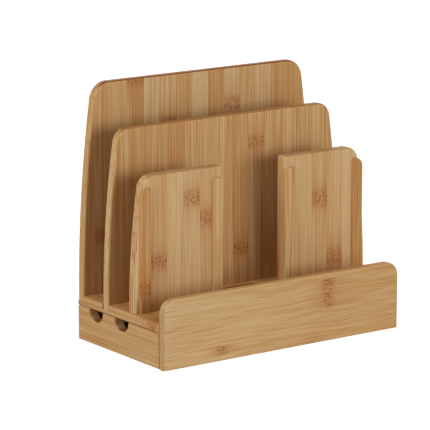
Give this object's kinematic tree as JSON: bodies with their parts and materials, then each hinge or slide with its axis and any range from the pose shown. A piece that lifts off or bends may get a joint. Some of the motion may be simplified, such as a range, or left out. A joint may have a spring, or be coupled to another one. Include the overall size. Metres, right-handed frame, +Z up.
{
  "type": "charging station organizer",
  "caption": "Desk charging station with a hollow base, side notches for leads, and a lift-off rack of uprights that forms bays for devices.",
  "frame": {"origin": "on the ground, under the middle of the whole box", "axes": "+X to the right seen from the front, +Y towards the back panel, +Z up"},
  "size_m": [0.255, 0.135, 0.23],
  "materials": {
    "bamboo_lip": "satin lacquer",
    "bamboo_side": "satin lacquer",
    "bamboo_floor": "satin lacquer",
    "bamboo_upright": "satin lacquer",
    "bamboo_batten": "satin lacquer",
    "ply": "plain",
    "dowel": "plain",
    "screw_steel": "zinc plated"
  },
  "bodies": {
    "base": {"front_lip_panel": "bamboo_lip", "left_side_panel": "bamboo_side", "right_side_panel": "bamboo_side", "rear_base_panel": "bamboo_side", "bottom_board": "ply", "base_dowels": "dowel"},
    "rack": {"rack_floor": "bamboo_floor", "back_panel": "bamboo_upright", "middle_divider": "bamboo_upright", "front_divider_left": "bamboo_upright", "front_divider_right": "bamboo_upright", "left_outer_batten": "bamboo_batten", "left_inner_batten": "bamboo_batten", "right_inner_batten": "bamboo_batten", "right_outer_batten": "bamboo_batten", "front_cleat": "bamboo_floor", "rear_cleat": "bamboo_floor", "rack_screws": "screw_steel"}
  },
  "joints": [
    {"name": "rack_lift", "type": "slide", "parent": "base", "child": "rack", "axis": [0, 0, 1], "range_m": [0, 0.07]}
  ]
}
